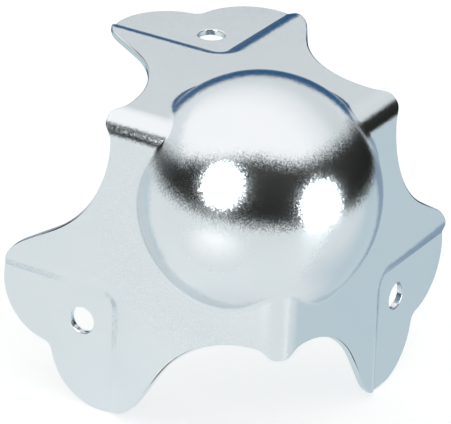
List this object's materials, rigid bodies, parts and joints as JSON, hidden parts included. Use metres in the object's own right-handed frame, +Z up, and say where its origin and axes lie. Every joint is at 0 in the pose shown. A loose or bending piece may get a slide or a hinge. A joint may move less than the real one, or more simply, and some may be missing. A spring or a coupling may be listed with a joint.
{
  "type": "case ball corner",
  "caption": "Pressed steel ball corner for a flight case: a part ball on square flanges with fish-tail tips stepped down past the edging, each with a rivet hole.",
  "frame": {"origin": "the corner point where the three panel faces of the case meet, which is where the planes of the three tips' inner faces cross", "axes": "+Z up out of the top panel, +X out of the right panel, -Y out of the front panel; the case fills -X, +Y and -Z"},
  "size_m": [0.0677, 0.0677, 0.0677],
  "materials": {
    "zinc_plate": "bright zinc plate with a faint blue passivation"
  },
  "bodies": {
    "root": {"ball_corner": "zinc_plate"}
  },
  "joints": []
}
